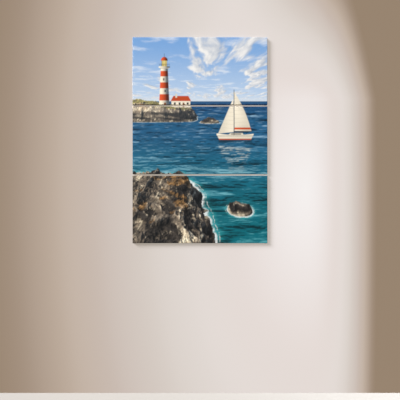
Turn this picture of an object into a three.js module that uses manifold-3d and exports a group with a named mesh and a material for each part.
// A three-panel stretched canvas wall print.
//
// Three equal landscape panels hang one above another with a narrow gap of wall between them.
// Each panel is a printed canvas stretched over a mitred pine frame with a centre brace. Two
// sawtooth hangers are nailed to the back of its upper bar, and two bumpers at its lower
// corners keep it level with the wall.
//
// Millimetres, +Z up. The printed fronts face -Y and +X is to the viewer's right. The origin is
// the middle of the set in the plane of the wall, so every piece lies at y <= 0.

import * as THREE from "three";
import { mergeVertices } from "three/addons/utils/BufferGeometryUtils.js";
import Module from "manifold-3d";

const wasm = await Module();
wasm.setup();

// ---- driving dimensions ------------------------------------------------------------------

const PANEL_NAMES = ["top", "middle", "bottom"];
const PANEL_WIDTH = 812.8;
const PANEL_HEIGHT = 406.4;
const PANEL_DEPTH = 19.05;
const PANEL_GAP = 11;

const FIT_GAP = 0.3;

const CLOTH = 0.8;
const HEM_WIDTH = 25;

const BAR_WIDTH = 38;
const BAR_LIP = 6;
const BAR_BEVEL_DROP = 4;
const BAR_EDGE_RADIUS = 1.2;

const BRACE_WIDTH = 38;
const BRACE_DEPTH = 10;
const TENON_WIDTH = 24;
const TENON_THICKNESS = 5;
const TENON_LENGTH = 12;

const BUMPER_RADIUS = 6;
const BUMPER_HEIGHT = 2;
const BUMPER_FROM_SIDE = 62;
const BUMPER_FROM_BASE = 13;

const HANGER_LENGTH = 46;
const HANGER_HEIGHT = 9;
const HANGER_SHEET = 0.8;
const HANGER_RISE = 2;
const HANGER_RAISED_LENGTH = 24;
const HANGER_RAMP = 2.5;
const HANGER_CORNER = 2;
const HANGER_HOLE_SPACING = 36;
const HANGER_FROM_CENTRE = 230;
const TOOTH_COUNT = 7;
const TOOTH_PITCH = 3;
const TOOTH_DEPTH = 1.6;

const NAIL_RADIUS = 0.7;
const NAIL_HEAD_RADIUS = 1.8;
const NAIL_HEAD_HEIGHT = 0.8;
const NAIL_SHANK = 12;
const NAIL_POINT = 2;

const ROUND_SIDES = 16;
const BUMPER_SIDES = 24;
const CORNER_STEPS = 4;

// ---- sizes that follow from them ---------------------------------------------------------

const HEM_REAR = -(BUMPER_HEIGHT + FIT_GAP);
const CANVAS_FRONT = HEM_REAR - PANEL_DEPTH;
const BAR_REAR = HEM_REAR - CLOTH - FIT_GAP;
const BAR_DEPTH = PANEL_DEPTH - 2 * (CLOTH + FIT_GAP);
const FRAME_WIDTH = PANEL_WIDTH - 2 * (CLOTH + FIT_GAP);
const FRAME_HEIGHT = PANEL_HEIGHT - 2 * (CLOTH + FIT_GAP);
const NAIL_HOLE_RADIUS = NAIL_RADIUS + FIT_GAP;
// the hangers sit on the strip of bare wood between the hem and the bar's inner edge
const BARE_STRIP_TOP = PANEL_HEIGHT / 2 - HEM_WIDTH;
const BARE_STRIP_BASE = FRAME_HEIGHT / 2 - BAR_WIDTH;
const HANGER_Z = (BARE_STRIP_TOP + BARE_STRIP_BASE) / 2;

// ---- materials ---------------------------------------------------------------------------

const finish = (color, roughness, metalness) => ({ color, roughness, metalness });
const PRINTED_CANVAS = finish(0x5f8fae, 0.75, 0);
const PINE = finish(0xd8b98a, 0.65, 0);
const ZINC_STEEL = finish(0xb9bcc0, 0.35, 0.9);
const BUMPER_RUBBER = finish(0x2b2b2d, 0.7, 0);

const pieceOf = (name, geometry, look) => {
  const mesh = new THREE.Mesh(geometry, new THREE.MeshStandardMaterial(look));
  mesh.name = name;
  return mesh;
};

// ---- solids ------------------------------------------------------------------------------

const solidOf = (geometry) => {
  const bare = geometry.clone();
  bare.deleteAttribute("normal");
  bare.deleteAttribute("uv");
  const merged = mergeVertices(bare, 1e-4);
  const vertProperties = new Float32Array(merged.attributes.position.array);
  const triVerts = new Uint32Array(merged.index.array);
  return new wasm.Manifold(new wasm.Mesh({ numProp: 3, vertProperties, triVerts }));
};

const geometryOf = (solid) => {
  const { vertProperties, triVerts } = solid.getMesh();
  const geometry = new THREE.BufferGeometry();
  geometry.setAttribute("position", new THREE.BufferAttribute(vertProperties, 3));
  geometry.setIndex(new THREE.BufferAttribute(triVerts, 1));
  geometry.computeVertexNormals();
  return geometry;
};

const boxAt = (sizeX, sizeY, sizeZ, x, y, z) =>
  new THREE.BoxGeometry(sizeX, sizeY, sizeZ).translate(x, y, z);

// ---- canvas: one cloth over the front, round the four edges and folded on to the back -----

const canvasGeometry = () => {
  const middle = (HEM_REAR + CANVAS_FRONT) / 2;
  const block = boxAt(PANEL_WIDTH, PANEL_DEPTH, PANEL_HEIGHT, 0, middle, 0);
  const inside = boxAt(
    PANEL_WIDTH - 2 * CLOTH,
    PANEL_DEPTH - 2 * CLOTH,
    PANEL_HEIGHT - 2 * CLOTH,
    0,
    middle,
    0,
  );
  const openBack = boxAt(
    PANEL_WIDTH - 2 * HEM_WIDTH,
    PANEL_DEPTH,
    PANEL_HEIGHT - 2 * HEM_WIDTH,
    0,
    HEM_REAR,
    0,
  );
  const frontSheet = boxAt(
    PANEL_WIDTH,
    CLOTH,
    PANEL_HEIGHT,
    0,
    CANVAS_FRONT + CLOTH / 2,
    0,
  );
  const shell = solidOf(block).subtract(solidOf(inside)).subtract(solidOf(openBack));
  return geometryOf(shell.add(solidOf(frontSheet)));
};

// ---- stretcher bars ----------------------------------------------------------------------

// The section lies in local X and Y: X runs inwards from the frame's outer edge, and Y forwards
// from the back of the frame. Only the lip touches the cloth, because the front slopes away
// from it. The two back corners and the lip are eased.
const barSection = () => {
  const r = BAR_EDGE_RADIUS;
  const innerDepth = BAR_DEPTH - BAR_BEVEL_DROP;
  const section = new THREE.Shape();
  section.moveTo(r, 0);
  section.lineTo(BAR_WIDTH - r, 0);
  section.absarc(BAR_WIDTH - r, r, r, -Math.PI / 2, 0, false);
  section.lineTo(BAR_WIDTH, innerDepth);
  section.lineTo(BAR_LIP, BAR_DEPTH);
  section.lineTo(r, BAR_DEPTH);
  section.absarc(r, BAR_DEPTH - r, r, Math.PI / 2, Math.PI, false);
  section.lineTo(0, r);
  section.absarc(r, r, r, Math.PI, 1.5 * Math.PI, false);
  return section;
};

// A bar along local Z, centred there. Each end is mitred by drawing a point back by its own
// distance from the outer edge.
const mitredBar = (length) => {
  const geometry = new THREE.ExtrudeGeometry(barSection(), {
    depth: length,
    bevelEnabled: false,
    curveSegments: CORNER_STEPS,
  });
  const setBack = FIT_GAP / Math.SQRT2;
  const point = geometry.attributes.position;
  for (let i = 0; i < point.count; i += 1) {
    const half = length / 2 - setBack - point.getX(i);
    point.setZ(i, point.getZ(i) > length / 2 ? half : -half);
  }
  return geometry;
};

const mortise = () =>
  boxAt(
    2 * (TENON_LENGTH + FIT_GAP),
    TENON_THICKNESS + 2 * FIT_GAP,
    TENON_WIDTH + 2 * FIT_GAP,
    BAR_WIDTH,
    BRACE_DEPTH / 2,
    0,
  );

// A hole for one hanger nail, drilled forwards from the back of the upper bar.
const nailHole = (alongBar) => {
  const depth = NAIL_SHANK + 1;
  const hole = new THREE.CylinderGeometry(NAIL_HOLE_RADIUS, NAIL_HOLE_RADIUS, 2 * depth, ROUND_SIDES);
  return hole.translate(FRAME_HEIGHT / 2 - HANGER_Z, 0, alongBar);
};

const nailPlaces = () => {
  const places = [];
  for (const side of [-1, 1]) {
    for (const end of [-1, 1]) {
      places.push(side * HANGER_FROM_CENTRE + (end * HANGER_HOLE_SPACING) / 2);
    }
  }
  return places;
};

// Turns a bar's local frame so that its X points to the middle of the panel from one edge.
const placeBar = (mesh, inwards, x, z) => {
  const forwards = new THREE.Vector3(0, -1, 0);
  const along = new THREE.Vector3().crossVectors(inwards, forwards);
  const turn = new THREE.Matrix4().makeBasis(inwards, forwards, along);
  mesh.quaternion.setFromRotationMatrix(turn);
  mesh.position.set(x, BAR_REAR, z);
  return mesh;
};

const stretcherBars = (panel) => {
  const long = solidOf(mitredBar(FRAME_WIDTH)).subtract(solidOf(mortise()));
  let drilled = long;
  for (const place of nailPlaces()) {
    drilled = drilled.subtract(solidOf(nailHole(place)));
  }
  const short = mitredBar(FRAME_HEIGHT);
  const upper = pieceOf(`${panel}_bar_upper`, geometryOf(drilled), PINE);
  const lower = pieceOf(`${panel}_bar_lower`, geometryOf(long), PINE);
  const left = pieceOf(`${panel}_bar_left`, short, PINE);
  const right = pieceOf(`${panel}_bar_right`, short, PINE);
  return [
    placeBar(upper, new THREE.Vector3(0, 0, -1), 0, FRAME_HEIGHT / 2),
    placeBar(lower, new THREE.Vector3(0, 0, 1), 0, -FRAME_HEIGHT / 2),
    placeBar(left, new THREE.Vector3(1, 0, 0), -FRAME_WIDTH / 2, 0),
    placeBar(right, new THREE.Vector3(-1, 0, 0), FRAME_WIDTH / 2, 0),
  ];
};

// ---- centre brace, with a tenon at each end ------------------------------------------------

const brace = (panel) => {
  const length = FRAME_HEIGHT - 2 * BAR_WIDTH - 2 * FIT_GAP;
  const y = -BRACE_DEPTH / 2;
  const body = boxAt(BRACE_WIDTH, BRACE_DEPTH, length, 0, y, 0);
  const tenons = boxAt(TENON_WIDTH, TENON_THICKNESS, length + 2 * TENON_LENGTH, 0, y, 0);
  const mesh = pieceOf(`${panel}_brace`, geometryOf(solidOf(body).add(solidOf(tenons))), PINE);
  mesh.position.y = BAR_REAR;
  return mesh;
};

// ---- sawtooth hangers ----------------------------------------------------------------------

// The outline of the plate in X and Z, with teeth along the lower edge and two nail holes.
const hangerOutline = () => {
  const halfLength = HANGER_LENGTH / 2;
  const halfHeight = HANGER_HEIGHT / 2;
  const r = HANGER_CORNER;
  const outline = new THREE.Shape();
  outline.moveTo(-halfLength + r, -halfHeight);
  const firstTooth = (-TOOTH_COUNT * TOOTH_PITCH) / 2;
  for (let i = 0; i < TOOTH_COUNT; i += 1) {
    const start = firstTooth + i * TOOTH_PITCH;
    outline.lineTo(start, -halfHeight);
    outline.lineTo(start + TOOTH_PITCH / 2, -halfHeight + TOOTH_DEPTH);
  }
  outline.lineTo(-firstTooth, -halfHeight);
  outline.lineTo(halfLength - r, -halfHeight);
  outline.absarc(halfLength - r, -halfHeight + r, r, -Math.PI / 2, 0, false);
  outline.absarc(halfLength - r, halfHeight - r, r, 0, Math.PI / 2, false);
  outline.absarc(-halfLength + r, halfHeight - r, r, Math.PI / 2, Math.PI, false);
  outline.absarc(-halfLength + r, -halfHeight + r, r, Math.PI, 1.5 * Math.PI, false);
  for (const side of [-1, 1]) {
    const hole = new THREE.Path();
    hole.absarc((side * HANGER_HOLE_SPACING) / 2, 0, NAIL_HOLE_RADIUS, 0, 2 * Math.PI, true);
    outline.holes.push(hole);
  }
  return outline;
};

// The bent strip in X and Y: the ends lie on the bar and the middle stands off it, so that a
// nail head in the wall fits behind the teeth.
const hangerBend = () => {
  const end = HANGER_LENGTH / 2;
  const flat = HANGER_RAISED_LENGTH / 2;
  const foot = flat + HANGER_RAMP;
  const strip = new THREE.Shape();
  strip.moveTo(-end, 0);
  strip.lineTo(-foot, 0);
  strip.lineTo(-flat, HANGER_RISE);
  strip.lineTo(flat, HANGER_RISE);
  strip.lineTo(foot, 0);
  strip.lineTo(end, 0);
  strip.lineTo(end, HANGER_SHEET);
  strip.lineTo(foot, HANGER_SHEET);
  strip.lineTo(flat, HANGER_RISE + HANGER_SHEET);
  strip.lineTo(-flat, HANGER_RISE + HANGER_SHEET);
  strip.lineTo(-foot, HANGER_SHEET);
  strip.lineTo(-end, HANGER_SHEET);
  return strip;
};

const hangerGeometry = () => {
  const reach = 2 * (HANGER_RISE + HANGER_SHEET);
  const plate = new THREE.ExtrudeGeometry(hangerOutline(), {
    depth: 2 * reach,
    bevelEnabled: false,
    curveSegments: ROUND_SIDES / 4,
  });
  plate.translate(0, 0, -reach);
  plate.rotateX(Math.PI / 2);
  const bend = new THREE.ExtrudeGeometry(hangerBend(), {
    depth: 2 * HANGER_HEIGHT,
    bevelEnabled: false,
  });
  bend.translate(0, 0, -HANGER_HEIGHT);
  return geometryOf(solidOf(plate).intersect(solidOf(bend)));
};

const hangers = (panel) => {
  const geometry = hangerGeometry();
  const made = [];
  for (const [side, name] of [[-1, "left"], [1, "right"]]) {
    const mesh = pieceOf(`${panel}_hanger_${name}`, geometry, ZINC_STEEL);
    mesh.position.set(side * HANGER_FROM_CENTRE, BAR_REAR + FIT_GAP, HANGER_Z);
    made.push(mesh);
  }
  return made;
};

// ---- hanger nails --------------------------------------------------------------------------

// Turned about local Y, with the point at the front and the domed head at the back.
const nailGeometry = () => {
  const headBase = NAIL_SHANK;
  const headTop = NAIL_SHANK + NAIL_HEAD_HEIGHT;
  const profile = [
    new THREE.Vector2(0, 0),
    new THREE.Vector2(NAIL_RADIUS, NAIL_POINT),
    new THREE.Vector2(NAIL_RADIUS, headBase),
    new THREE.Vector2(NAIL_HEAD_RADIUS, headBase),
    new THREE.Vector2(NAIL_HEAD_RADIUS, headBase + NAIL_HEAD_HEIGHT / 2),
    new THREE.Vector2(NAIL_HEAD_RADIUS * 0.7, headBase + NAIL_HEAD_HEIGHT * 0.85),
    new THREE.Vector2(0, headTop),
  ];
  return new THREE.LatheGeometry(profile, ROUND_SIDES);
};

const nails = (panel) => {
  const geometry = nailGeometry();
  const headSeat = BAR_REAR + 2 * FIT_GAP + HANGER_SHEET;
  return nailPlaces().map((place, i) => {
    const mesh = pieceOf(`${panel}_nail_${i + 1}`, geometry, ZINC_STEEL);
    mesh.position.set(place, headSeat - NAIL_SHANK, HANGER_Z);
    return mesh;
  });
};

// ---- wall bumpers --------------------------------------------------------------------------

// Turned about local Y: a low disc with a rounded rim, whose flat back rests on the wall.
const bumperGeometry = () => {
  const rim = BUMPER_HEIGHT / 2;
  const profile = [new THREE.Vector2(0, 0), new THREE.Vector2(BUMPER_RADIUS, 0)];
  for (let i = 0; i <= CORNER_STEPS; i += 1) {
    const angle = ((Math.PI / 2) * i) / CORNER_STEPS;
    const r = BUMPER_RADIUS - rim * (1 - Math.cos(angle));
    profile.push(new THREE.Vector2(r, BUMPER_HEIGHT - rim * (1 - Math.sin(angle))));
  }
  profile.push(new THREE.Vector2(0, BUMPER_HEIGHT));
  return new THREE.LatheGeometry(profile, BUMPER_SIDES);
};

const bumpers = (panel) => {
  const geometry = bumperGeometry();
  const x = PANEL_WIDTH / 2 - BUMPER_FROM_SIDE;
  const z = -PANEL_HEIGHT / 2 + BUMPER_FROM_BASE;
  const made = [];
  for (const [side, name] of [[-1, "left"], [1, "right"]]) {
    const mesh = pieceOf(`${panel}_bumper_${name}`, geometry, BUMPER_RUBBER);
    mesh.position.set(side * x, -BUMPER_HEIGHT, z);
    made.push(mesh);
  }
  return made;
};

// ---- the set -------------------------------------------------------------------------------

const panelGroup = (panel) => {
  const group = new THREE.Group();
  group.add(pieceOf(`${panel}_canvas`, canvasGeometry(), PRINTED_CANVAS));
  group.add(...stretcherBars(panel), brace(panel));
  group.add(...hangers(panel), ...nails(panel), ...bumpers(panel));
  return group;
};

const wallPrint = new THREE.Group();
const pitch = PANEL_HEIGHT + PANEL_GAP;
PANEL_NAMES.forEach((name, i) => {
  const group = panelGroup(name);
  group.position.z = ((PANEL_NAMES.length - 1) / 2 - i) * pitch;
  wallPrint.add(group);
});

export default wallPrint;
